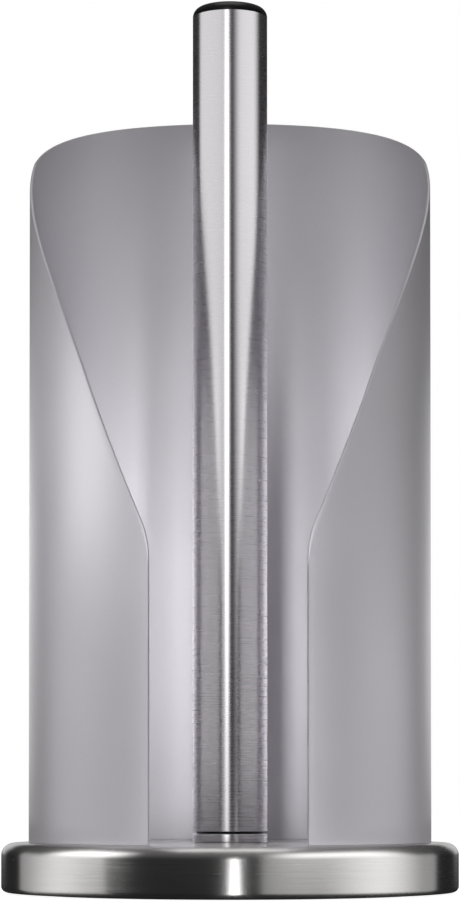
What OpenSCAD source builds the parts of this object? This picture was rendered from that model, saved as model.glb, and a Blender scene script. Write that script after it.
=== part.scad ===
// Paper towel holder: a weighted steel base, a turning post for the roll and a curved shield behind it.
// Millimetres, +Z up. The origin is the centre of the grip pad's underside. The slot in the shield faces -Y.

/* [Base] */
// Diameter of the base
base_d = 155; // [148:1:165]
// Height of the base's top above the ground
base_top = 17; // [16:0.5:20]
// Gap under the steel, which the grip pad makes
ground_gap = 0.4; // [0.2:0.1:0.8]
// Sheet thickness of the base's cover
cover_t = 1; // [0.8:0.1:1.2]
// Outer radius of the cover's top edge
cover_top_r = 4.2; // [3.5:0.1:5]
// Outer radius of the cover's lower edge
cover_low_r = 2; // [1.6:0.1:2.5]
// Width of the lip that is rolled in under the ballast
cover_lip = 6; // [4:0.5:8]

/* [Shield] */
// Outer diameter of the shield
shield_d = 136.5; // [132:0.5:140]
// Sheet thickness of the shield
shield_t = 1; // [0.8:0.1:1.2]
// Height of the shield at the middle of its back
shield_h = 260; // [255:1:266]
// Half of the angle that the front slot takes, in degrees
slot_half_angle = 22.1; // [20:0.1:26]
// Radius of the rim's crown on the flat sheet, before it is rolled
crown_r = 190; // [185:1:195]
// Slope of the rim where the crown ends, in degrees
crown_slope = 30; // [29:0.5:31]
// Radius of the short shoulder after the crown
shoulder_r = 18; // [12:1:24]
// Slope of the rim where the shoulder ends, in degrees
shoulder_slope = 38.5; // [36:0.5:40]
// Radius of the long flank after the shoulder
flank_r = 223; // [216:1:226]
// Slope of the straight run down to the slot, in degrees
flank_slope = 65.3; // [64.5:0.1:66]
// Radius of the corner beside the slot
corner_r = 30; // [20:1:36]

/* [Shield feet] */
// How far each foot tab reaches in from the shield
tab_reach = 9; // [8:0.5:11]
// Width of a foot tab
tab_w = 14; // [12:1:18]
// Angle of the side tabs, measured round from the back, in degrees
tab_angle = 110; // [95:1:120]

/* [Post] */
// Diameter of the post
post_d = 25.4; // [24:0.1:27]
// Wall thickness of the post's tube
post_wall = 1.2; // [1:0.1:1.5]
// Length of the post's tube
post_tube_h = 278; // [272:1:284]
// Height of the fixed collar under the tube
collar_h = 3; // [2.5:0.1:4]
// Height of the running gap between the collar and the tube
running_gap = 0.8; // [0.6:0.1:1.2]
// Diameter of the spindle that the tube turns on
spindle_d = 10; // [9:0.5:11]

/* [End cap] */
// Height of the cap above the tube
cap_h = 4; // [4:0.1:5]
// Radius of the cap's top edge
cap_edge_r = 3.3; // [2.5:0.1:3.5]
// Rise of the cap's slightly domed top
cap_crown = 0.6; // [0.4:0.1:0.7]

/* [Hidden] */

$fn = 96;
cut = 1;              // how far a cutting shape runs past the face that it opens
chord_overlap = 0.5;  // how far each chord of the rim's cutter runs past its ends
past_sheet = 20;      // how far the rim's cutter runs past the sheet's faces and its top
slack = 0.1;          // clearance between pieces that are bolted together
running_slack = 0.05; // radial clearance of a bush on the spindle
edge_break = 0.3;     // chamfer on turned edges

// base
base_r = base_d / 2;
cover_h = base_top - ground_gap;
cavity_r = base_r - cover_t;
cavity_floor = ground_gap + cover_t;
cavity_top = base_top - cover_t;
ballast_floor = cavity_floor + slack;
ballast_h = cavity_top - ballast_floor;
pad_r = base_r - cover_low_r - cover_lip;

// fastening under the spindle
stud_r = spindle_d / 2 - 1;
nut_flats = 13;
nut_h = 6;
washer_r = 8;
washer_t = 1.6;
spring_washer_r = 6.4;
spring_washer_t = 2;
spring_washer_split = 1.4;
recess_r = 11;
recess_top = ballast_floor + slack + nut_h + spring_washer_t + washer_t + slack;

// shield
shield_r = shield_d / 2;
shield_inner_r = shield_r - shield_t;
shield_mid_r = shield_r - shield_t / 2;
rim_top = base_top + shield_h;
tab_angles = [0, tab_angle, -tab_angle];
tab_inner_r = shield_inner_r - tab_reach;
tab_corner_r = 3;
sheet_lift = 0.2; // the sheet's foot stands this far off the base, on its tabs
screw_setback = 4.2; // from a tab's inner end to its screw
screw_circle_r = tab_inner_r + screw_setback;
screw_r = 2;
screw_head_r = 3.5;
screw_head_h = 2.4;
screw_reach = 8;
screw_key_flats = 2.5;
screw_key_depth = 1.4;

// post
post_r = post_d / 2;
post_bore_r = post_r - post_wall;
spindle_r = spindle_d / 2;
collar_top = base_top + collar_h;
tube_foot = collar_top + running_gap;
tube_top = tube_foot + post_tube_h;
bush_h = 15;
bush_foot_relief = 0.1;
spindle_drop = 13; // how far the spindle ends below the tube's top
spindle_top = tube_top - spindle_drop;
end_play = 0.3;    // room for the upper bush under the retaining washer
retaining_washer_r = 8;
retaining_washer_t = 1.2;
retaining_screw_r = 2.5;
retaining_head_r = 4.4;
retaining_head_h = 3;
retaining_key_flats = 4;
retaining_key_depth = 1.8;
retaining_reach = 12;
cap_spigot_h = 7;
cap_spigot_t = 1.8;

// ---- the shield's rim, drawn on the sheet's inner face as [distance round from the back, height] ----

// arcs of the rim, each as [radius, slope where it starts, slope where it ends, number of chords]
rim_arcs = [
    [crown_r, 0, crown_slope, 12],
    [shoulder_r, crown_slope, shoulder_slope, 3],
    [flank_r, shoulder_slope, flank_slope, 14],
];

// where an arc ends: its start point plus the step that its turn makes
function arc_end(start, arc) = [
    start[0] + arc[0] * (sin(arc[2]) - sin(arc[1])),
    start[1] - arc[0] * (cos(arc[1]) - cos(arc[2])),
];

// the start point of arc number i
function arc_start(i) = i == 0 ? [0, rim_top] : arc_end(arc_start(i - 1), rim_arcs[i - 1]);

// points along an arc from its start point, without its last one
function arc_points(start, arc) = [
    for (k = [0:arc[3] - 1])
        let (slope = arc[1] + (arc[2] - arc[1]) * k / arc[3])
            arc_end(start, [arc[0], arc[1], slope])
];

slot_edge = shield_inner_r * (180 - slot_half_angle) * PI / 180;
flank_end = arc_start(3);
// the straight run would meet the slot's edge at this height
run_foot = flank_end[1] - (slot_edge - flank_end[0]) * tan(flank_slope);
corner = [corner_r, flank_slope, 90, 6];
corner_start = [
    slot_edge - corner_r * (1 - sin(flank_slope)),
    run_foot + corner_r * (1 - sin(flank_slope)) * tan(flank_slope),
];

// half of the rim, from the back to the slot's edge
half_rim = [
    for (i = [0:2]) each arc_points(arc_start(i), rim_arcs[i]),
    flank_end,
    each arc_points(corner_start, corner),
    arc_end(corner_start, corner),
];

// everything above one chord of the rim, cut square to the sheet; the rim steepens all the way
// down, so a chord that is drawn a little long stays above its neighbours
module above_chord(start, end) {
    middle = (start + end) / 2;
    reach = (end[0] - start[0]) / 2 + chord_overlap;
    fall = reach * (start[1] - end[1]) / (end[0] - start[0]);
    rotate([0, 0, -middle[0] / shield_inner_r * 180 / PI])
        translate([0, shield_r + past_sheet, 0])
            rotate([90, 0, 0])
                linear_extrude(shield_t + 2 * past_sheet)
                    polygon([
                        [-reach, middle[1] + fall], [reach, middle[1] - fall],
                        [reach, rim_top + past_sheet], [-reach, rim_top + past_sheet],
                    ]);
}

// everything above the rim, on both sides
module above_rim() {
    for (side = [0, 1])
        mirror([side, 0, 0])
            for (i = [0:len(half_rim) - 2])
                above_chord(half_rim[i], half_rim[i + 1]);
}

// ---- shapes that several pieces share ----

// a disc whose upper and lower edges are rounded
module rounded_disc(r, h, top_r, low_r) {
    rotate_extrude() {
        square([r - top_r, h]);
        square([r - low_r, h - top_r]);
        translate([0, low_r]) square([r, h - top_r - low_r]);
        translate([r - top_r, h - top_r]) circle(top_r);
        translate([r - low_r, low_r]) circle(low_r);
    }
}

// a flat ring that stands on the plane z = 0
module ring(outer_r, inner_r, h) {
    difference() {
        cylinder(r = outer_r, h = h);
        translate([0, 0, -cut]) cylinder(r = inner_r, h = h + 2 * cut);
    }
}

// a turned ring with broken outer edges
module turned_ring(outer_r, inner_r, h) {
    rotate_extrude()
        polygon([
            [inner_r, 0], [outer_r - edge_break, 0], [outer_r, edge_break],
            [outer_r, h - edge_break], [outer_r - edge_break, h], [inner_r, h],
        ]);
}

// a cap screw whose head stands on the plane z = 0 and whose shank points down
module cap_screw(shank_r, reach, head_r, head_h, key_flats, key_depth) {
    difference() {
        union() {
            cylinder(r = head_r, h = head_h);
            translate([0, 0, -reach]) cylinder(r = shank_r, h = reach + cut);
        }
        translate([0, 0, head_h - key_depth])
            cylinder(r = key_flats / sqrt(3), h = key_depth + cut, $fn = 6);
    }
}

// puts its children on each foot tab's screw, counted round from the back
module at_tab_screws() {
    for (angle = tab_angles)
        rotate([0, 0, angle]) translate([0, screw_circle_r, 0]) children();
}

// ---- base ----

module base_cover() {
    color("silver")
        difference() {
            translate([0, 0, ground_gap]) rounded_disc(base_r, cover_h, cover_top_r, cover_low_r);
            translate([0, 0, cavity_floor])
                rounded_disc(cavity_r, cavity_top - cavity_floor, cover_top_r - cover_t, cover_low_r - cover_t);
            cylinder(r = pad_r + slack, h = cavity_floor + cut);
            translate([0, 0, cavity_top - cut]) cylinder(r = stud_r + slack, h = cover_t + 2 * cut);
            at_tab_screws()
                translate([0, 0, cavity_top - cut]) cylinder(r = screw_r + slack, h = cover_t + 2 * cut);
        }
}

module ballast_disc() {
    screw_hole_depth = screw_reach - shield_t - cover_t + cut;
    color("dimgray")
        difference() {
            translate([0, 0, ballast_floor])
                rounded_disc(cavity_r - slack, ballast_h, cover_top_r - cover_t, cover_low_r - cover_t);
            cylinder(r = stud_r + slack, h = base_top);
            cylinder(r = recess_r, h = recess_top);
            at_tab_screws()
                translate([0, 0, cavity_top - screw_hole_depth])
                    cylinder(r = screw_r + slack, h = screw_hole_depth + cut);
        }
}

module grip_pad() {
    color("black")
        rounded_disc(pad_r, ballast_floor, edge_break, edge_break);
}

// ---- shield ----

// the rolled sheet before its rim is cut
module rolled_sheet() {
    rotate([0, 0, slot_half_angle - 90])
        rotate_extrude(angle = 360 - 2 * slot_half_angle)
            translate([shield_inner_r, base_top + sheet_lift])
                square([shield_t, shield_h - sheet_lift + cut]);
}

// one foot tab at the back, bent inwards from the sheet and drilled for its screw
module foot_tab() {
    difference() {
        translate([0, 0, base_top])
            linear_extrude(shield_t)
                difference() {
                    union() {
                        translate([-tab_w / 2, tab_inner_r + tab_corner_r])
                            square([tab_w, tab_reach - tab_corner_r + shield_t / 4]);
                        translate([-tab_w / 2 + tab_corner_r, tab_inner_r])
                            square([tab_w - 2 * tab_corner_r, tab_reach]);
                        for (side = [-1, 1])
                            translate([side * (tab_w / 2 - tab_corner_r), tab_inner_r + tab_corner_r])
                                circle(tab_corner_r);
                    }
                    translate([0, screw_circle_r]) circle(screw_r + slack);
                }
        // trims the tab's outer edge inside the sheet's outer face
        translate([0, 0, base_top - cut]) ring(shield_r + tab_w, shield_mid_r, shield_t + 2 * cut);
    }
}

module shield() {
    color("thistle") {
        difference() {
            rolled_sheet();
            above_rim();
        }
        for (angle = tab_angles)
            rotate([0, 0, angle]) foot_tab();
    }
}

module shield_screws() {
    color("gray")
        at_tab_screws()
            translate([0, 0, base_top + shield_t])
                cap_screw(screw_r, screw_reach, screw_head_r, screw_head_h, screw_key_flats, screw_key_depth);
}

// ---- fixed middle of the post ----

module post_collar() {
    color("silver")
        translate([0, 0, base_top]) turned_ring(post_r, stud_r + slack, collar_h);
}

// a rod whose shoulder stands on the collar and whose stud runs down through the base
module spindle() {
    stud_foot = ballast_floor + slack;
    color("lightgray")
        difference() {
            union() {
                translate([0, 0, collar_top]) cylinder(r = spindle_r, h = spindle_top - collar_top);
                translate([0, 0, stud_foot]) cylinder(r = stud_r, h = collar_top - stud_foot + cut);
            }
            translate([0, 0, spindle_top - retaining_reach - cut])
                cylinder(r = retaining_screw_r + slack, h = retaining_reach + 2 * cut);
        }
}

module spindle_washer() {
    color("gray")
        translate([0, 0, recess_top - washer_t]) ring(washer_r, stud_r + slack, washer_t);
}

module spring_washer() {
    color("dimgray")
        translate([0, 0, recess_top - washer_t - spring_washer_t])
            difference() {
                ring(spring_washer_r, stud_r + slack, spring_washer_t);
                translate([0, -spring_washer_split / 2, -cut])
                    cube([spring_washer_r + cut, spring_washer_split, spring_washer_t + 2 * cut]);
            }
}

module spindle_nut() {
    color("gray")
        translate([0, 0, recess_top - washer_t - spring_washer_t - nut_h])
            difference() {
                cylinder(r = nut_flats / sqrt(3), h = nut_h, $fn = 6);
                translate([0, 0, -cut]) cylinder(r = stud_r + slack, h = nut_h + 2 * cut);
            }
}

// ---- turning outside of the post ----

module post_tube() {
    color("silver")
        translate([0, 0, tube_foot]) ring(post_r, post_bore_r, post_tube_h);
}

// a bush that fills the tube and turns on the spindle; its foot is turned down a little where it shows
module lower_bush() {
    foot = collar_top + slack;
    color("black")
        difference() {
            union() {
                translate([0, 0, tube_foot]) cylinder(r = post_bore_r, h = bush_h);
                translate([0, 0, foot]) cylinder(r = post_bore_r - bush_foot_relief, h = bush_h);
            }
            translate([0, 0, foot - cut])
                cylinder(r = spindle_r + running_slack, h = bush_h + running_gap + 2 * cut);
        }
}

module upper_bush() {
    color("black")
        translate([0, 0, spindle_top - end_play - bush_h])
            ring(post_bore_r, spindle_r + running_slack, bush_h);
}

module retaining_washer() {
    color("gray")
        translate([0, 0, spindle_top]) ring(retaining_washer_r, retaining_screw_r + slack, retaining_washer_t);
}

module retaining_screw() {
    color("gray")
        translate([0, 0, spindle_top + retaining_washer_t])
            cap_screw(
                retaining_screw_r, retaining_reach, retaining_head_r, retaining_head_h,
                retaining_key_flats, retaining_key_depth
            );
}

// a domed cap with a hollow spigot that plugs the tube
module end_cap() {
    dome_half_w = post_r - cap_edge_r;
    dome_r = (dome_half_w * dome_half_w + cap_crown * cap_crown) / (2 * cap_crown);
    shoulder_h = cap_h - cap_crown;
    color("black")
        translate([0, 0, tube_top]) {
            rotate_extrude() {
                square([post_r, shoulder_h - cap_edge_r]);
                square([dome_half_w, shoulder_h]);
                intersection() {
                    translate([dome_half_w, shoulder_h - cap_edge_r]) circle(cap_edge_r);
                    square([post_r, shoulder_h]);
                }
                intersection() {
                    translate([0, cap_h - dome_r]) circle(dome_r);
                    translate([0, shoulder_h - cap_crown]) square([dome_half_w, 2 * cap_crown]);
                }
            }
            translate([0, 0, -cap_spigot_h])
                ring(post_bore_r, post_bore_r - cap_spigot_t, cap_spigot_h + (shoulder_h - cap_edge_r) / 2);
        }
}

base_cover();
ballast_disc();
grip_pad();
shield();
shield_screws();
post_collar();
spindle();
spindle_washer();
spring_washer();
spindle_nut();
post_tube();
lower_bush();
upper_bush();
retaining_washer();
retaining_screw();
end_cap();
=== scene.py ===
"""Paper towel holder: brushed steel base and turning post, satin coated sheet steel shield.

Everything is in metres in the CAD frame: +Z up, the shield's slot faces -Y.
"""
import math

import bmesh
import bpy
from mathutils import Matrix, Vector


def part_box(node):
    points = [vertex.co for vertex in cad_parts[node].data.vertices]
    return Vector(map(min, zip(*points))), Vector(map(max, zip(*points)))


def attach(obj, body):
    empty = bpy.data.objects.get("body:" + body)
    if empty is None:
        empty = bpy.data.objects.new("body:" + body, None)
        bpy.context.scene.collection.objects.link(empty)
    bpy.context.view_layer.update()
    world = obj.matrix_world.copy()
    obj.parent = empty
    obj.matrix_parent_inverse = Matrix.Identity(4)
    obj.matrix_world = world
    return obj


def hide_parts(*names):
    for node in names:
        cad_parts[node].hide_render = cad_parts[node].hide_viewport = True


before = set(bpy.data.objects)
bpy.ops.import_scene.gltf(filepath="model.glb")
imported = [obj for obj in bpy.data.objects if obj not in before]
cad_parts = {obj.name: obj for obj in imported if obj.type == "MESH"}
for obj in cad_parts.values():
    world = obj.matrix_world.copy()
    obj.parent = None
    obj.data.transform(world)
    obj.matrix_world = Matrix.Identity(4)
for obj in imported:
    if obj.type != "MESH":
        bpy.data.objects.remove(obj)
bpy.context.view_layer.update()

MM = 0.001
TURN_STEPS = 192        # segments round a turned piece
ARC_STEPS = 8           # segments in a small rounded edge
SHARP_ANGLE = math.radians(40)
SLACK = 0.1 * MM        # round a stud, a pad or a neck
RUNNING_FIT = 0.05 * MM

# the CAD boxes that the pieces are built from
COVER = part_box("base_cover")
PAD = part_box("grip_pad")
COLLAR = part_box("post_collar")
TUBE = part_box("post_tube")
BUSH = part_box("lower_bush")
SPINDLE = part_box("spindle")
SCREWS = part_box("shield_screws")
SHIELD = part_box("shield")
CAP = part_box("end_cap")

# base
BASE_R = COVER[1].x
BASE_TOP = COVER[1].z
COVER_FOOT = COVER[0].z
COVER_T = 1.0 * MM
COVER_TOP_R = 4.2 * MM
COVER_LOW_R = 2.0 * MM
PAD_R = PAD[1].x
PAD_TOP = PAD[1].z
PAD_EDGE = 0.3 * MM
STUD_R = 4.0 * MM

# post
POST_R = TUBE[1].x
TUBE_FOOT = TUBE[0].z
TUBE_TOP = TUBE[1].z
TUBE_WALL = 1.2 * MM
TUBE_BORE_R = POST_R - TUBE_WALL
COLLAR_TOP = COLLAR[1].z
COLLAR_EDGE = 0.35 * MM
TUBE_EDGE = 0.15 * MM
SPINDLE_R = SPINDLE[1].x
BUSH_FOOT = BUSH[0].z
BUSH_TOP = BUSH[1].z
BUSH_NECK_R = TUBE_BORE_R - SLACK
BUSH_BORE_R = SPINDLE_R + RUNNING_FIT

# end cap
CAP_TOP = CAP[1].z
CAP_FOOT = CAP[0].z
CAP_EDGE_R = 3.3 * MM
CAP_CROWN = 0.6 * MM
CAP_SPIGOT_T = 1.8 * MM
CAP_SKIN = 2.0 * MM

# shield: a flat sheet with this rim, rolled round the post
SHEET_T = 1.0 * MM
SHEET_OUTER_R = SHIELD[1].x
SHEET_INNER_R = SHEET_OUTER_R - SHEET_T
SHEET_FOOT = SHIELD[0].z
RIM_TOP = SHIELD[1].z
SLOT_HALF_ANGLE = 22.1
SLOT_EDGE = SHEET_INNER_R * math.radians(180 - SLOT_HALF_ANGLE)
# the rim's arcs from the middle of the back: radius, slope at start and end in degrees, segments
RIM_ARCS = [
    (190 * MM, 0, 30, 40),
    (18 * MM, 30, 38.5, 4),
    (223 * MM, 38.5, 65.3, 44),
]
# the corner between the rim and the slot, in the same terms
CORNER = (30 * MM, 65.3, 90, 12)
RUN_STEPS = 10
SHEET_ROWS = 24
SHEET_EDGE_R = 0.3 * MM
EDGE_STEPS = 3

# foot tabs and their screws
TAB_ANGLES = (0, 110, -110)
TAB_REACH = 9 * MM
TAB_W = 14 * MM
TAB_CORNER_R = 3 * MM
TAB_BEND_R = 1.2 * MM
SCREW_SETBACK = 4.2 * MM
SCREW_CIRCLE_R = SHEET_INNER_R - TAB_REACH + SCREW_SETBACK
SCREW_R = 2 * MM
SCREW_HEAD_R = 3.5 * MM
SCREW_HEAD_H = 2.4 * MM
SCREW_EDGE_R = 0.5 * MM
SCREW_KEY_R = 1.45 * MM
SCREW_KEY_DEPTH = 1.4 * MM
SCREW_TOP = SCREWS[1].z
SCREW_FOOT = SCREWS[0].z
SCREW_STEPS = 48


# ---- mesh helpers ----

def arc(centre, radius, start, end, steps=ARC_STEPS):
    """Points on a circle in a profile, angles in degrees from the outward direction."""
    points = []
    for k in range(steps + 1):
        angle = math.radians(start + (end - start) * k / steps)
        points.append((centre[0] + radius * math.cos(angle), centre[1] + radius * math.sin(angle)))
    return points


def finish_mesh(name, mesh):
    """Turns a bmesh into a smooth-shaded object with its sharp edges kept."""
    bmesh.ops.recalc_face_normals(mesh, faces=mesh.faces)
    data = bpy.data.meshes.new(name)
    mesh.to_mesh(data)
    mesh.free()
    data.shade_smooth()
    data.set_sharp_from_angle(angle=SHARP_ANGLE)
    piece = bpy.data.objects.new(name, data)
    bpy.context.scene.collection.objects.link(piece)
    return piece


def add_lathe(mesh, profile, centre=(0, 0), steps=TURN_STEPS):
    """Revolves a closed profile of (radius, height) points round an upright axis."""
    rings = []
    for radius, height in profile:
        count = 1 if radius == 0 else steps
        ring = []
        for k in range(count):
            angle = math.tau * k / count
            x = centre[0] + radius * math.sin(angle)
            y = centre[1] + radius * math.cos(angle)
            ring.append(mesh.verts.new((x, y, height)))
        rings.append(ring)
    for low, high in zip(rings, rings[1:] + rings[:1]):
        for k in range(steps):
            corners = [low[k % len(low)], low[(k + 1) % len(low)]]
            corners += [high[(k + 1) % len(high)], high[k % len(high)]]
            corners = list(dict.fromkeys(corners))
            if len(corners) > 2:
                mesh.faces.new(corners)


def lathe(name, profile):
    """One turned piece on the post's axis."""
    mesh = bmesh.new()
    add_lathe(mesh, profile)
    return finish_mesh(name, mesh)


def rounded_ring(inner_r, outer_r, low, high, edge):
    """Profile of a plain ring whose outer edges are rounded."""
    return (
        [(inner_r, low)]
        + arc((outer_r - edge, low + edge), edge, -90, 0)
        + arc((outer_r - edge, high - edge), edge, 0, 90)
        + [(inner_r, high)]
    )


# ---- base and post ----

def make_cover():
    """Drawn cup: lip, lower edge, side, top edge and top outside, and the same inside."""
    low = COVER_FOOT + COVER_LOW_R
    high = BASE_TOP - COVER_TOP_R
    outside = (
        [(PAD_R + SLACK, COVER_FOOT)]
        + arc((BASE_R - COVER_LOW_R, low), COVER_LOW_R, -90, 0)
        + arc((BASE_R - COVER_TOP_R, high), COVER_TOP_R, 0, 90, 2 * ARC_STEPS)
        + [(STUD_R + SLACK, BASE_TOP)]
    )
    inside = (
        [(STUD_R + SLACK, BASE_TOP - COVER_T)]
        + arc((BASE_R - COVER_TOP_R, high), COVER_TOP_R - COVER_T, 90, 0)
        + arc((BASE_R - COVER_LOW_R, low), COVER_LOW_R - COVER_T, 0, -90)
        + [(PAD_R + SLACK, COVER_FOOT + COVER_T)]
    )
    return lathe("base_cover_skin", outside + inside)


def make_pad():
    return lathe("grip_pad_disc", rounded_ring(0, PAD_R, 0, PAD_TOP, PAD_EDGE))


def make_collar():
    profile = rounded_ring(STUD_R + SLACK, POST_R, BASE_TOP, COLLAR_TOP, COLLAR_EDGE)
    return lathe("post_collar_ring", profile)


def make_tube():
    return lathe("post_tube_skin", rounded_ring(TUBE_BORE_R, POST_R, TUBE_FOOT, TUBE_TOP, TUBE_EDGE))


def make_bush():
    return lathe("lower_bush_ring", [
        (BUSH_BORE_R, BUSH_FOOT), (BUSH_NECK_R, BUSH_FOOT), (BUSH_NECK_R, TUBE_FOOT),
        (TUBE_BORE_R, TUBE_FOOT), (TUBE_BORE_R, BUSH_TOP), (BUSH_BORE_R, BUSH_TOP),
    ])


def make_cap():
    """Domed cap with a rounded shoulder and a hollow spigot inside the tube."""
    shoulder = CAP_TOP - CAP_CROWN
    half_w = POST_R - CAP_EDGE_R
    dome_r = (half_w ** 2 + CAP_CROWN ** 2) / (2 * CAP_CROWN)
    rim_angle = math.degrees(math.acos(half_w / dome_r))
    dome = arc((0, CAP_TOP - dome_r), dome_r, rim_angle, 90, 2 * ARC_STEPS)[1:-1]
    edge = arc((half_w, shoulder - CAP_EDGE_R), CAP_EDGE_R, 0, 90, 2 * ARC_STEPS)
    spigot_r = TUBE_BORE_R - CAP_SPIGOT_T
    return lathe("end_cap_dome", (
        [(0, CAP_TOP - CAP_SKIN), (spigot_r, CAP_TOP - CAP_SKIN), (spigot_r, CAP_FOOT)]
        + [(TUBE_BORE_R, CAP_FOOT), (TUBE_BORE_R, TUBE_TOP), (POST_R, TUBE_TOP)]
        + edge + dome + [(0, CAP_TOP)]
    ))


# ---- shield ----

def arc_step(start, radius, begin, end):
    """The point that a rim arc reaches from its start as its slope goes from begin to end."""
    across = radius * (math.sin(math.radians(end)) - math.sin(math.radians(begin)))
    down = radius * (math.cos(math.radians(begin)) - math.cos(math.radians(end)))
    return (start[0] + across, start[1] - down)


def half_rim():
    """The rim from the middle of the back to the slot: (distance, height, slope) on the flat sheet."""
    start = (0.0, RIM_TOP)
    rim = []
    for radius, begin, end, steps in RIM_ARCS:
        for k in range(steps):
            slope = begin + (end - begin) * k / steps
            rim.append(arc_step(start, radius, begin, slope) + (slope,))
        start = arc_step(start, radius, begin, end)
    radius, begin, end, steps = CORNER
    inset = radius * (1 - math.sin(math.radians(begin)))
    run_slope = math.tan(math.radians(begin))
    corner_start = (SLOT_EDGE - inset, start[1] - (SLOT_EDGE - inset - start[0]) * run_slope)
    for k in range(RUN_STEPS):
        t = k / RUN_STEPS
        distance = start[0] + (corner_start[0] - start[0]) * t
        height = start[1] + (corner_start[1] - start[1]) * t
        rim.append((distance, height, begin))
    for k in range(steps + 1):
        slope = begin + (end - begin) * k / steps
        rim.append(arc_step(corner_start, radius, begin, slope) + (slope,))
    return rim


def sheet_grid():
    """Columns of the flat sheet's points, foot to rim, each with its pull in from the outline."""
    right = half_rim()
    rim = [(-d, h, -s) for d, h, s in reversed(right[1:])] + right
    last = len(rim) - 1
    grid = []
    for i, (distance, height, slope) in enumerate(rim):
        angle = math.radians(slope)
        side = (i == 0) - (i == last)
        column = []
        for k in range(SHEET_ROWS + 1):
            t = k / SHEET_ROWS
            pull = (side, 0)
            if k == 0:
                pull = (side, 1)
            if k == SHEET_ROWS:
                pull = (-math.sin(angle), -math.cos(angle))
            column.append(((distance, SHEET_FOOT + (height - SHEET_FOOT) * t), pull))
        grid.append(column)
    return grid


def on_sheet(point, depth):
    """Where a point of the flat sheet lies once it is rolled, at this depth out from the inner face."""
    angle = point[0] / SHEET_INNER_R
    radius = SHEET_INNER_R + depth
    return Vector((radius * math.sin(angle), radius * math.cos(angle), point[1]))


def pulled(entry, amount):
    """A grid entry's flat point, moved in from the sheet's outline."""
    point, pull = entry
    return (point[0] + pull[0] * amount, point[1] + pull[1] * amount)


def outline(grid):
    """The sheet's outline, once round: rim, slot edge, foot, slot edge."""
    columns = len(grid) - 1
    entries = [(i, SHEET_ROWS) for i in range(columns)]
    entries += [(columns, k) for k in range(SHEET_ROWS, 0, -1)]
    entries += [(i, 0) for i in range(columns, 0, -1)]
    entries += [(0, k) for k in range(SHEET_ROWS)]
    return entries


def add_sheet(mesh):
    """Two skins joined all round by a rounded edge."""
    grid = sheet_grid()
    skins = []
    for depth in (0, SHEET_T):
        skin = []
        for column in grid:
            skin.append([mesh.verts.new(on_sheet(pulled(entry, SHEET_EDGE_R), depth)) for entry in column])
        for left, right in zip(skin, skin[1:]):
            for k in range(SHEET_ROWS):
                mesh.faces.new((left[k], right[k], right[k + 1], left[k + 1]))
        skins.append(skin)
    border = outline(grid)
    loops = [[skins[0][i][k] for i, k in border]]
    for side, order in ((0, range(1, EDGE_STEPS + 1)), (1, range(EDGE_STEPS, 0, -1))):
        for step in order:
            turn = math.pi / 2 * step / EDGE_STEPS
            inset = SHEET_EDGE_R * (1 - math.sin(turn))
            depth = SHEET_EDGE_R * (1 - math.cos(turn))
            if side:
                depth = SHEET_T - depth
            loops.append([mesh.verts.new(on_sheet(pulled(grid[i][k], inset), depth)) for i, k in border])
    loops.append([skins[1][i][k] for i, k in border])
    for low, high in zip(loops, loops[1:]):
        for k in range(len(border)):
            n = (k + 1) % len(border)
            mesh.faces.new((low[k], low[n], high[n], high[k]))


def add_tab(mesh, angle):
    """A foot tab bent in from the sheet, with a rounded bend and corners; its screw is built with the other
    screws.
    """
    turn = math.radians(angle)
    inner = SHEET_INNER_R - TAB_REACH
    half = TAB_W / 2
    corner = half - TAB_CORNER_R
    into_wall = SHEET_T / 4
    middle = SHEET_FOOT + SHEET_T / 2
    bend_z = SHEET_FOOT + SHEET_T + TAB_BEND_R
    left = arc((-corner, inner + TAB_CORNER_R), TAB_CORNER_R, 180, 270)
    right = arc((corner, inner + TAB_CORNER_R), TAB_CORNER_R, 270, 360)
    root = math.sqrt(SHEET_INNER_R ** 2 - half ** 2) + into_wall
    plan = [(-half, root)] + left + right + [(half, root)]

    def place(x, y, z):
        return Vector((x * math.cos(turn) - y * math.sin(turn), x * math.sin(turn) + y * math.cos(turn), z))

    low = [mesh.verts.new(place(x, y, SHEET_FOOT)) for x, y in plan]
    high = [mesh.verts.new(place(x, y, SHEET_FOOT + SHEET_T)) for x, y in plan]
    mesh.faces.new(low)
    mesh.faces.new(high)
    for k in range(len(plan)):
        n = (k + 1) % len(plan)
        mesh.faces.new((low[k], low[n], high[n], high[k]))
    bend_y = root - into_wall - TAB_BEND_R
    bend_arc = arc((bend_y, bend_z), TAB_BEND_R, -90, 0)
    profile = [(bend_y, middle)] + bend_arc + [(root, bend_z), (root, middle)]
    bend = [[mesh.verts.new(place(x, y, z)) for y, z in profile] for x in (-half, half)]
    for k in range(len(bend[0])):
        n = (k + 1) % len(bend[0])
        mesh.faces.new((bend[0][k], bend[0][n], bend[1][n], bend[1][k]))
    mesh.faces.new(bend[0])
    mesh.faces.new(bend[1])


def make_shield():
    mesh = bmesh.new()
    add_sheet(mesh)
    for angle in TAB_ANGLES:
        add_tab(mesh, angle)
    return finish_mesh("shield_sheet", mesh)


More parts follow.
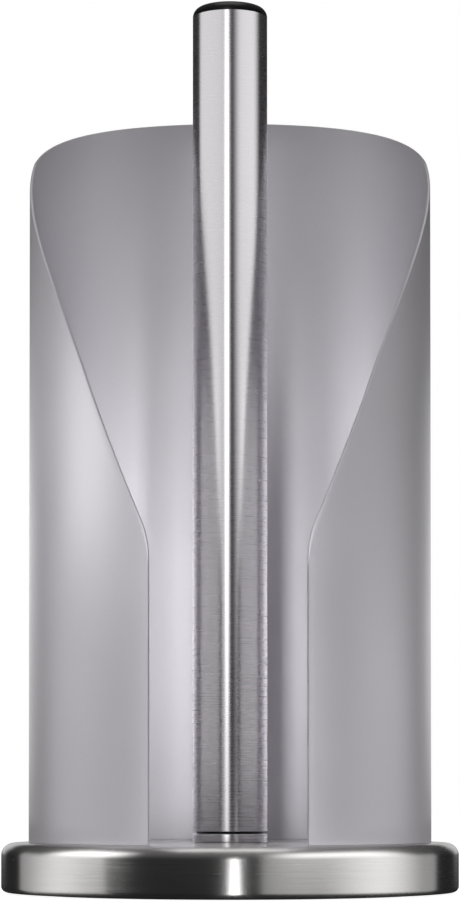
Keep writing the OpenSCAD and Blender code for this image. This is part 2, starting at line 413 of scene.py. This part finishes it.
def make_shield_screws():
    """Three screws; each head has a rounded edge and a round socket."""
    mesh = bmesh.new()
    head_foot = SCREW_TOP - SCREW_HEAD_H
    key_floor = SCREW_TOP - SCREW_KEY_DEPTH
    profile = (
        [(0, SCREW_FOOT), (SCREW_R, SCREW_FOOT), (SCREW_R, head_foot), (SCREW_HEAD_R, head_foot)]
        + arc((SCREW_HEAD_R - SCREW_EDGE_R, SCREW_TOP - SCREW_EDGE_R), SCREW_EDGE_R, 0, 90)
        + [(SCREW_KEY_R, SCREW_TOP), (SCREW_KEY_R, key_floor), (0, key_floor)]
    )
    for angle in TAB_ANGLES:
        turn = math.radians(angle)
        centre = (-SCREW_CIRCLE_R * math.sin(turn), SCREW_CIRCLE_R * math.cos(turn))
        add_lathe(mesh, profile, centre, SCREW_STEPS)
    return finish_mesh("shield_screw_set", mesh)


# ---- materials ----

# each colour pair is the darkest and the lightest that the surface shows
COAT_COLOURS = ((0.46, 0.445, 0.475), (0.51, 0.495, 0.525))
PLASTIC_COLOURS = ((0.010, 0.010, 0.011), (0.018, 0.018, 0.019))
RUBBER_COLOURS = ((0.016, 0.016, 0.016), (0.030, 0.030, 0.031))
IRON_COLOURS = ((0.055, 0.053, 0.052), (0.11, 0.105, 0.10))
ZINC_COLOURS = ((0.50, 0.51, 0.52), (0.62, 0.63, 0.64))
FLOOR_COLOURS = ((0.80, 0.80, 0.80), (0.82, 0.82, 0.82))
BASE_STEEL = (0.67, 0.66, 0.655)
POST_STEEL = (0.675, 0.655, 0.675)
STEEL_SPREAD = 0.08         # share by which the brush lines are darker or lighter than the steel
STEEL_SMOOTHER = 0.04       # how far the brush lines take the roughness down, and up
STEEL_ROUGHER = 0.05
NOISE_LOW = 0.3             # a noise texture's values lie mostly between these two
NOISE_HIGH = 0.7
QUARTER_TURN = 0.25         # turns the brushed highlight from along the lines to across them
WHITE = (1, 1, 1, 1)


class Graph:
    """The node tree of a material, a light or the world, with short calls for the nodes used here."""

    def __init__(self, owner, shader="Principled BSDF"):
        owner.use_nodes = True
        self.owner = owner
        self.nodes = owner.node_tree.nodes
        self.links = owner.node_tree.links
        self.shader = self.nodes[shader]

    def add(self, kind, inputs=(), **settings):
        """A new node; each input is given a value or is linked to another node's output."""
        node = self.nodes.new(kind)
        for key, value in settings.items():
            setattr(node, key, value)
        for socket, value in dict(inputs).items():
            self.feed(node.inputs[socket], value)
        return node

    def feed(self, socket, value):
        if isinstance(value, bpy.types.NodeSocket):
            self.links.new(value, socket)
        else:
            socket.default_value = value

    def set(self, **values):
        """Values or links for the shader's own inputs."""
        for key, value in values.items():
            self.feed(self.shader.inputs[key.replace("_", " ")], value)

    def math(self, operation, a, b=0.0):
        return self.add("ShaderNodeMath", {0: a, 1: b}, operation=operation).outputs[0]

    def mix(self, a, b, share):
        """Two values added in these shares: the second has this share and the first the rest."""
        return self.math("ADD", self.math("MULTIPLY", a, 1 - share), self.math("MULTIPLY", b, share))

    def ramp(self, value, low, high, start=0.0, end=1.0):
        """Goes smoothly from start to end as the value goes from low to high."""
        node = self.add("ShaderNodeMapRange", {
            "Value": value, "From Min": low, "From Max": high, "To Min": start, "To Max": end,
        }, interpolation_type="SMOOTHSTEP")
        return node.outputs["Result"]

    def soft_edges(self, value, soft):
        """One in the middle of a side that runs from 0 to 1, fading out over a soft share of it."""
        rise = self.ramp(value, 0.0, soft)
        fall = self.ramp(value, 1 - soft, 1.0, 1.0, 0.0)
        return self.math("MULTIPLY", rise, fall)

    def place(self):
        return self.add("ShaderNodeTexCoord").outputs["Object"]

    def noise(self, vector, scale, detail=2.0, roughness=0.5):
        node = self.add("ShaderNodeTexNoise", {
            "Vector": vector, "Scale": scale, "Detail": detail, "Roughness": roughness,
        })
        return node.outputs["Fac"]

    def span(self, value, low, high):
        """Maps a noise value to a range."""
        node = self.add("ShaderNodeMapRange", {
            "Value": value, "From Min": NOISE_LOW, "From Max": NOISE_HIGH, "To Min": low, "To Max": high,
        })
        return node.outputs["Result"]

    def blend(self, value, dark, light):
        """A colour between two, chosen by a noise value."""
        factor = self.span(value, 0, 1)
        node = self.add("ShaderNodeMix", {0: factor, 6: (*dark, 1), 7: (*light, 1)}, data_type="RGBA")
        return node.outputs[2]

    def bump(self, height, strength, distance):
        inputs = {"Height": height, "Strength": strength, "Distance": distance}
        return self.add("ShaderNodeBump", inputs).outputs["Normal"]

    def brush_lines(self, along, across):
        """Coordinates that stretch a noise round the axis, into lines round walls and flat tops."""
        x, y, z = self.add("ShaderNodeSeparateXYZ", {0: self.place()}).outputs
        squares = self.math("ADD", self.math("MULTIPLY", x, x), self.math("MULTIPLY", y, y))
        radius = self.math("SQRT", squares)
        across_line = self.math("MULTIPLY", self.math("SUBTRACT", z, radius), across)
        return self.add("ShaderNodeCombineXYZ", {
            0: self.math("MULTIPLY", x, along), 1: self.math("MULTIPLY", y, along), 2: across_line,
        }).outputs[0]


def new_material(name):
    return Graph(bpy.data.materials.new(name))


def shaded(colour, factor):
    return tuple(channel * factor for channel in colour)


def brushed_steel(name, colour, roughness, anisotropy, grain):
    """Steel brushed round its axis: fine lines in colour, roughness and height."""
    g = new_material(name)
    long_lines = g.noise(g.brush_lines(along=14, across=2600), scale=1.0, detail=4.0, roughness=0.65)
    short_lines = g.noise(g.brush_lines(along=110, across=5200), scale=1.0, detail=2.0, roughness=0.6)
    lines = g.mix(long_lines, short_lines, share=0.4)
    tone = g.mix(lines, g.noise(g.place(), scale=22.0), share=0.2)
    g.set(
        Base_Color=g.blend(tone, shaded(colour, 1 - STEEL_SPREAD), shaded(colour, 1 + STEEL_SPREAD)),
        Metallic=1.0,
        Roughness=g.span(tone, roughness - STEEL_SMOOTHER, roughness + STEEL_ROUGHER),
        Anisotropic=anisotropy,
        Anisotropic_Rotation=QUARTER_TURN,
        Tangent=g.add("ShaderNodeTangent", direction_type="RADIAL", axis="Z").outputs[0],
        Normal=g.bump(lines, strength=grain, distance=0.02 * MM),
    )
    return g.owner


def coated_sheet():
    """Satin powder coat over steel, lilac grey, with a faint orange peel."""
    g = new_material("satin_powder_coat")
    peel = g.noise(g.place(), scale=900.0)
    speck = g.noise(g.place(), scale=4200.0, detail=1.0)
    cloud = g.noise(g.place(), scale=18.0, detail=3.0)
    g.set(
        Base_Color=g.blend(g.mix(speck, cloud, share=0.4), *COAT_COLOURS),
        Metallic=0.4,
        Roughness=g.span(cloud, 0.42, 0.48),
        Normal=g.bump(peel, strength=0.10, distance=0.03 * MM),
    )
    return g.owner


def black_plastic():
    g = new_material("satin_black_plastic")
    grain = g.noise(g.place(), scale=2600.0)
    g.set(
        Base_Color=g.blend(grain, *PLASTIC_COLOURS),
        Roughness=g.span(grain, 0.28, 0.36),
        Normal=g.bump(grain, strength=0.12, distance=0.03 * MM),
    )
    return g.owner


def grip_rubber():
    g = new_material("grip_rubber")
    pores = g.noise(g.place(), scale=1400.0, detail=3.0)
    g.set(
        Base_Color=g.blend(pores, *RUBBER_COLOURS),
        Roughness=g.span(pores, 0.75, 0.9),
        Normal=g.bump(pores, strength=0.5, distance=0.1 * MM),
    )
    return g.owner


def cast_iron():
    g = new_material("cast_iron")
    sand = g.noise(g.place(), scale=700.0, detail=5.0, roughness=0.7)
    g.set(
        Base_Color=g.blend(sand, *IRON_COLOURS),
        Metallic=0.6,
        Roughness=g.span(sand, 0.55, 0.75),
        Normal=g.bump(sand, strength=0.6, distance=0.2 * MM),
    )
    return g.owner


def plated_steel():
    g = new_material("zinc_plated_steel")
    cloud = g.noise(g.place(), scale=260.0, detail=3.0)
    lines = g.noise(g.brush_lines(along=60, across=4000), scale=1.0)
    g.set(
        Base_Color=g.blend(cloud, *ZINC_COLOURS),
        Metallic=1.0,
        Roughness=g.span(cloud, 0.28, 0.38),
        Normal=g.bump(lines, strength=0.08, distance=0.02 * MM),
    )
    return g.owner


# ---- assembly ----

def dress(piece, material, body, slot, *nodes):
    """Gives a built piece its material and its body, and hides the CAD nodes that it stands for; the slot
    is not used.
    """
    piece.data.materials.append(material)
    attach(piece, body)
    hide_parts(*nodes)
    return piece


def paint_node(name, material):
    """A CAD node that stays gets a better material."""
    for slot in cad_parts[name].material_slots:
        slot.material = material


steel_base = brushed_steel("brushed_steel_base", BASE_STEEL, roughness=0.24, anisotropy=0.95, grain=0.16)
steel_post = brushed_steel("brushed_steel_post", POST_STEEL, roughness=0.28, anisotropy=0.93, grain=0.08)
plastic = black_plastic()
zinc = plated_steel()

cover = dress(make_cover(), steel_base, "stand", "brushed_steel", "base_cover")
collar = dress(make_collar(), steel_post, "stand", "brushed_steel", "post_collar")
dress(make_pad(), grip_rubber(), "stand", "grip_rubber", "grip_pad")
shield = dress(make_shield(), coated_sheet(), "stand", "coated_sheet", "shield")
dress(make_shield_screws(), zinc, "stand", "plated_steel", "shield_screws")
tube = dress(make_tube(), steel_post, "post", "brushed_steel", "post_tube")
dress(make_bush(), plastic, "post", "black_plastic", "lower_bush")
cap = dress(make_cap(), plastic, "post", "black_plastic", "end_cap")
paint_node("ballast_disc", cast_iron())
paint_node("upper_bush", plastic)
for node_name in ("spindle", "spindle_washer", "spring_washer", "spindle_nut"):
    paint_node(node_name, zinc)
for node_name in ("retaining_washer", "retaining_screw"):
    paint_node(node_name, zinc)


# ---- studio ----

FLOOR_SIZE = 6.0
FLOOR_CELLS = 8
FLOOR_DROP = 0.1 * MM
FLOOR_GLOW = 0.92

# the world's strength below the horizon and overhead
AMBIENT = (0.02, 0.15)

# camera, at the photograph's viewpoint
CAMERA_AT = Vector((0.0092, -1.0527, 0.0354))
CAMERA_PITCH = 0.029
LENS = 123.2
SENSOR_WIDTH = 36
LENS_SHIFT = 0.2717
NEAREST = 0.05
FARTHEST = 20

# how far a softbox stands from the post's axis
FAR = 0.8
CLOSE = 0.17            # outside the shield
AT_SLOT = 0.06          # just inside the shield's front
BY_POST = 0.05          # between the shield and the post

# a light's beam in degrees
WIDE = 180
NARROW = 90

# softboxes, azimuths in degrees from the front:
# name, left and right azimuth, distance, foot and top, soft share, beam, strength, pieces lit
POST = (tube, collar)
SOFTBOXES = [
    ("post_left", (-112, -14), FAR, (-0.1, 1.1), 0.15, WIDE, 1.05, POST),
    ("post_right", (7, 106), FAR, (-0.1, 1.1), 0.35, WIDE, 1.3, POST),
    ("post_glow", (-24, 6), FAR, (-0.2, 0.9), 0.5, WIDE, 0.7, POST),
    ("post_strip", (-20, 1.5), FAR, (-0.2, 0.9), 0.5, WIDE, 4.2, (tube, collar, cap)),
    ("tube_left", (-100, -22), BY_POST, (0.0, 0.2), 0.25, WIDE, 0.36, POST),
    ("tube_right", (22, 94), BY_POST, (0.0, 0.2), 0.25, WIDE, 0.36, POST),
    ("base_left", (-126, -60), FAR, (-0.5, 0.3), 0.05, WIDE, 0.42, (cover,)),
    ("base_left_hump", (-122, -60), FAR, (-0.5, 0.3), 0.5, WIDE, 0.65, (cover,)),
    ("base_left_high", (-110, -47), FAR, (0.05, 1.1), 0.35, WIDE, 2.3, (cover,)),
    ("base_right", (14, 124), FAR, (-0.5, 0.3), 0.05, WIDE, 0.42, (cover,)),
    ("base_right_hump", (42, 112), FAR, (-0.5, 0.3), 0.5, WIDE, 0.85, (cover,)),
    ("base_right_high", (12, 110), FAR, (0.05, 1.1), 0.35, WIDE, 1.8, (cover,)),
    ("base_back", (145, 215), FAR, (0.0, 0.3), 0.2, WIDE, 0.6, (cover,)),
    ("base_strip", (0.4, 4.8), FAR, (-0.5, 0.1), 0.2, WIDE, 7.0, (cover,)),
    ("shield_front", (-38, 38), FAR, (-0.1, 0.3), 0.2, WIDE, 7.2, (shield,)),
    ("shield_side_left", (-122, -66), FAR, (-0.05, 0.17), 0.2, WIDE, 1.9, (shield,)),
    ("shield_side_right", (66, 122), FAR, (-0.05, 0.17), 0.2, WIDE, 2.2, (shield,)),
    ("shield_back", (135, 225), FAR, (0.0, 0.3), 0.2, WIDE, 2.2, (shield,)),
    ("shield_left", (-88, -50), CLOSE, (0.11, 0.21), 0.2, WIDE, 2.4, (shield,)),
    ("shield_inside", (-25, 25), AT_SLOT, (0.17, 0.27), 0.1, NARROW, 0.9, (shield,)),
    ("slot_left", (-22, -6), AT_SLOT, (0.0, 0.18), 0.1, NARROW, 12.0, (shield,)),
    ("slot_right", (2, 8.4), AT_SLOT, (0.0, 0.18), 0.1, NARROW, 21.0, (shield,)),
]
OVERHEAD_SIZE = 1.1
OVERHEAD_HEIGHT = 1.6
OVERHEAD_STRENGTH = 1.05
OVERHEAD_SOFT = 0.1


def studio_world():
    """White to the camera; to the object, a dim room that is a little lighter overhead."""
    world = bpy.data.worlds.new("studio")
    bpy.context.scene.world = world
    g = Graph(world, "Background")
    direction = g.add("ShaderNodeTexCoord").outputs["Generated"]
    height = g.add("ShaderNodeSeparateXYZ", {0: direction}).outputs[2]
    room = g.ramp(height, 0.0, 1.0, *AMBIENT)
    seen = g.add("ShaderNodeLightPath").outputs["Is Camera Ray"]
    unseen_room = g.math("MULTIPLY", room, g.math("SUBTRACT", 1.0, seen))
    g.set(Strength=g.math("ADD", unseen_room, seen), Color=WHITE)


def make_floor():
    """Pale floor with a soft contact shadow, seen only by the camera and only from above."""
    mesh = bmesh.new()
    bmesh.ops.create_grid(mesh, x_segments=FLOOR_CELLS, y_segments=FLOOR_CELLS, size=FLOOR_SIZE / 2)
    floor = finish_mesh("floor", mesh)
    floor.location.z = -FLOOR_DROP
    g = new_material("pale_floor")
    g.set(
        Base_Color=g.blend(g.noise(g.place(), scale=4.0), *FLOOR_COLOURS),
        Roughness=0.9,
        Emission_Color=WHITE,
        Emission_Strength=FLOOR_GLOW,
    )
    below = g.add("ShaderNodeNewGeometry").outputs["Backfacing"]
    clear = g.add("ShaderNodeBsdfTransparent").outputs[0]
    surface = g.add("ShaderNodeMixShader", {0: below, 1: g.shader.outputs[0], 2: clear}).outputs[0]
    g.feed(g.nodes["Material Output"].inputs[0], surface)
    floor.data.materials.append(g.owner)
    floor.visible_diffuse = False
    floor.visible_glossy = False
    floor.visible_shadow = False


def make_camera():
    """At the photograph's viewpoint: a little above the counter, looking almost level at the slot."""
    data = bpy.data.cameras.new("camera")
    data.lens = LENS
    data.sensor_width = SENSOR_WIDTH
    data.shift_y = LENS_SHIFT
    data.clip_start = NEAREST
    data.clip_end = FARTHEST
    camera = bpy.data.objects.new("camera", data)
    camera.location = CAMERA_AT
    ahead = -CAMERA_AT.y
    aim = Vector((-CAMERA_AT.x, ahead, ahead * math.tan(CAMERA_PITCH)))
    camera.rotation_euler = aim.to_track_quat("-Z", "Y").to_euler()
    bpy.context.scene.collection.objects.link(camera)
    bpy.context.scene.camera = camera


def add_light(name, width, height, soft, beam, strength, lit):
    """A rectangular light with soft sides, unseen by the camera; it lights these pieces, or all."""
    data = bpy.data.lights.new(name, "AREA")
    data.shape = "RECTANGLE"
    data.size = width
    data.size_y = height
    data.energy = strength * math.pi * width * height
    data.spread = math.radians(beam)
    g = Graph(data, "Emission")
    point = g.add("ShaderNodeNewGeometry").outputs["Parametric"]
    across, up, _ = g.add("ShaderNodeSeparateXYZ", {0: point}).outputs
    g.set(Strength=g.math("MULTIPLY", g.soft_edges(across, soft), g.soft_edges(up, soft)))
    light = bpy.data.objects.new(name, data)
    light.visible_camera = False
    bpy.context.scene.collection.objects.link(light)
    if lit:
        receivers = bpy.data.collections.new(name + "_lights")
        for piece in lit:
            receivers.objects.link(piece)
        light.light_linking.receiver_collection = receivers
    return light


def add_softbox(name, azimuth, distance, height, soft, beam, strength, lit):
    """An upright light that faces the post from between two azimuths and two heights."""
    left, right = azimuth
    foot, top = height
    turn = math.radians((left + right) / 2)
    half_width = distance * math.tan(math.radians(right - left) / 2)
    light = add_light(name, 2 * half_width, top - foot, soft, beam, strength, lit)
    light.location = (distance * math.sin(turn), -distance * math.cos(turn), (foot + top) / 2)
    light.rotation_euler = (math.pi / 2, 0, turn)


studio_world()
make_floor()
make_camera()
overhead = add_light("overhead", OVERHEAD_SIZE, OVERHEAD_SIZE, OVERHEAD_SOFT, WIDE, OVERHEAD_STRENGTH, ())
overhead.location = (0, 0, OVERHEAD_HEIGHT)
for softbox in SOFTBOXES:
    add_softbox(*softbox)
bpy.context.scene.view_settings.view_transform = "Standard"
